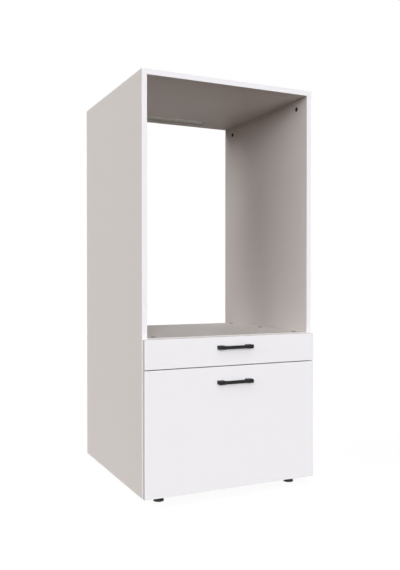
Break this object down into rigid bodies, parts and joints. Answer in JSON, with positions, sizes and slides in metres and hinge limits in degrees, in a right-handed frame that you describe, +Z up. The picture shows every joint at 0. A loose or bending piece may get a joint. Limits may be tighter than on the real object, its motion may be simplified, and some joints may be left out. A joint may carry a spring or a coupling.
{
  "type": "washing machine cabinet",
  "caption": "Tall open-fronted cabinet that holds a washing machine in a niche above a shallow and a deep drawer, on levelling feet.",
  "frame": {"origin": "on the floor, under the middle of the whole part with its handles", "axes": "+Z up, the drawer fronts face -Y, +X to the right as seen from the front"},
  "size_m": [0.65, 0.682, 1.411],
  "materials": {
    "carcass_board": "matt white melamine on particle board",
    "front_board": "smooth satin white",
    "edge_band": "smooth white edge banding",
    "drawer_board": "matt white melamine on particle board",
    "thin_sheet": "white-lacquered hardboard",
    "cam_zinc": "dark nickelled zinc casting",
    "screw_steel": "zinc-plated steel",
    "rail_steel": "zinc-plated sheet steel",
    "bearing_steel": "polished ball-bearing steel",
    "beech": "fluted beech dowel",
    "handle_black": "fine matt black powder coat",
    "foot_plastic": "moulded black plastic",
    "bumper_soft": "clear soft pad"
  },
  "bodies": {
    "carcass": {"left_side_panel": "carcass_board", "right_side_panel": "carcass_board", "top_panel": "carcass_board", "niche_floor_panel": "carcass_board", "bottom_panel": "carcass_board", "drawer_bay_back": "thin_sheet", "side_edge_bands": "edge_band", "top_edge_band": "edge_band", "niche_floor_edge_band": "edge_band", "bottom_edge_band": "edge_band", "carcass_cams": "cam_zinc", "carcass_cam_bolts": "screw_steel", "carcass_dowels": "beech", "bay_back_screws": "screw_steel", "cabinet_rail_screws": "screw_steel", "foot_inserts": "screw_steel", "upper_cabinet_rails": "rail_steel", "lower_cabinet_rails": "rail_steel"},
    "upper_drawer": {"upper_drawer_front": "front_board", "upper_drawer_left_side": "drawer_board", "upper_drawer_right_side": "drawer_board", "upper_drawer_back": "drawer_board", "upper_drawer_bottom": "thin_sheet", "upper_drawer_cams": "cam_zinc", "upper_drawer_cam_bolts": "screw_steel", "upper_drawer_back_screws": "screw_steel", "upper_drawer_bumpers": "bumper_soft", "upper_handle": "handle_black", "upper_handle_screws": "screw_steel", "upper_drawer_rails": "rail_steel", "upper_drawer_rail_screws": "screw_steel"},
    "upper_middle_rails": {"upper_middle_rails": "rail_steel"},
    "upper_outer_ball_cages": {"upper_outer_ball_cages": "bearing_steel"},
    "upper_inner_ball_cages": {"upper_inner_ball_cages": "bearing_steel"},
    "lower_drawer": {"lower_drawer_front": "front_board", "lower_drawer_left_side": "drawer_board", "lower_drawer_right_side": "drawer_board", "lower_drawer_back": "drawer_board", "lower_drawer_bottom": "thin_sheet", "lower_drawer_cams": "cam_zinc", "lower_drawer_cam_bolts": "screw_steel", "lower_drawer_back_screws": "screw_steel", "lower_drawer_bumpers": "bumper_soft", "lower_handle": "handle_black", "lower_handle_screws": "screw_steel", "lower_drawer_rails": "rail_steel", "lower_drawer_rail_screws": "screw_steel"},
    "lower_middle_rails": {"lower_middle_rails": "rail_steel"},
    "lower_outer_ball_cages": {"lower_outer_ball_cages": "bearing_steel"},
    "lower_inner_ball_cages": {"lower_inner_ball_cages": "bearing_steel"},
    "front_left_foot_pad": {"front_left_foot_pad": "foot_plastic"},
    "front_left_foot_spindle": {"front_left_foot_spindle": "screw_steel"},
    "front_right_foot_pad": {"front_right_foot_pad": "foot_plastic"},
    "front_right_foot_spindle": {"front_right_foot_spindle": "screw_steel"},
    "rear_left_foot_pad": {"rear_left_foot_pad": "foot_plastic"},
    "rear_left_foot_spindle": {"rear_left_foot_spindle": "screw_steel"},
    "rear_right_foot_pad": {"rear_right_foot_pad": "foot_plastic"},
    "rear_right_foot_spindle": {"rear_right_foot_spindle": "screw_steel"}
  },
  "joints": [
    {"name": "upper_drawer_slide", "type": "slide", "parent": "carcass", "child": "upper_drawer", "axis": [0, -1, 0], "range_m": [0, 0.5]},
    {"name": "upper_middle_rails_slide", "type": "slide", "parent": "carcass", "child": "upper_middle_rails", "axis": [0, -1, 0], "range_m": [0, 0.25]},
    {"name": "upper_outer_ball_cages_slide", "type": "slide", "parent": "carcass", "child": "upper_outer_ball_cages", "axis": [0, -1, 0], "range_m": [0, 0.125]},
    {"name": "upper_inner_ball_cages_slide", "type": "slide", "parent": "carcass", "child": "upper_inner_ball_cages", "axis": [0, -1, 0], "range_m": [0, 0.375]},
    {"name": "lower_drawer_slide", "type": "slide", "parent": "carcass", "child": "lower_drawer", "axis": [0, -1, 0], "range_m": [0, 0.5]},
    {"name": "lower_middle_rails_slide", "type": "slide", "parent": "carcass", "child": "lower_middle_rails", "axis": [0, -1, 0], "range_m": [0, 0.25]},
    {"name": "lower_outer_ball_cages_slide", "type": "slide", "parent": "carcass", "child": "lower_outer_ball_cages", "axis": [0, -1, 0], "range_m": [0, 0.125]},
    {"name": "lower_inner_ball_cages_slide", "type": "slide", "parent": "carcass", "child": "lower_inner_ball_cages", "axis": [0, -1, 0], "range_m": [0, 0.375]},
    {"name": "front_left_foot_lift", "type": "slide", "parent": "carcass", "child": "front_left_foot_pad", "axis": [0, 0, -1], "range_m": [0, 0.01]},
    {"name": "front_left_foot_turn", "type": "hinge", "parent": "front_left_foot_pad", "child": "front_left_foot_spindle", "pos_m": [-0.2535, -0.259, 0.02], "axis": [0, 0, -1], "range_deg": [0, 2400]},
    {"name": "front_right_foot_lift", "type": "slide", "parent": "carcass", "child": "front_right_foot_pad", "axis": [0, 0, -1], "range_m": [0, 0.01]},
    {"name": "front_right_foot_turn", "type": "hinge", "parent": "front_right_foot_pad", "child": "front_right_foot_spindle", "pos_m": [0.2535, -0.259, 0.02], "axis": [0, 0, -1], "range_deg": [0, 2400]},
    {"name": "rear_left_foot_lift", "type": "slide", "parent": "carcass", "child": "rear_left_foot_pad", "axis": [0, 0, -1], "range_m": [0, 0.01]},
    {"name": "rear_left_foot_turn", "type": "hinge", "parent": "rear_left_foot_pad", "child": "rear_left_foot_spindle", "pos_m": [-0.2535, 0.217, 0.02], "axis": [0, 0, -1], "range_deg": [0, 2400]},
    {"name": "rear_right_foot_lift", "type": "slide", "parent": "carcass", "child": "rear_right_foot_pad", "axis": [0, 0, -1], "range_m": [0, 0.01]},
    {"name": "rear_right_foot_turn", "type": "hinge", "parent": "rear_right_foot_pad", "child": "rear_right_foot_spindle", "pos_m": [0.2535, 0.217, 0.02], "axis": [0, 0, -1], "range_deg": [0, 2400]}
  ],
  "couplings": [
    {"joint": "upper_middle_rails_slide", "follows": "upper_drawer_slide", "ratio": 0.5},
    {"joint": "upper_outer_ball_cages_slide", "follows": "upper_drawer_slide", "ratio": 0.25},
    {"joint": "upper_inner_ball_cages_slide", "follows": "upper_drawer_slide", "ratio": 0.75},
    {"joint": "lower_middle_rails_slide", "follows": "lower_drawer_slide", "ratio": 0.5},
    {"joint": "lower_outer_ball_cages_slide", "follows": "lower_drawer_slide", "ratio": 0.25},
    {"joint": "lower_inner_ball_cages_slide", "follows": "lower_drawer_slide", "ratio": 0.75},
    {"joint": "front_left_foot_turn", "follows": "front_left_foot_lift", "rad_per_m": 4188.8},
    {"joint": "front_right_foot_turn", "follows": "front_right_foot_lift", "rad_per_m": 4188.8},
    {"joint": "rear_left_foot_turn", "follows": "rear_left_foot_lift", "rad_per_m": 4188.8},
    {"joint": "rear_right_foot_turn", "follows": "rear_right_foot_lift", "rad_per_m": 4188.8}
  ]
}
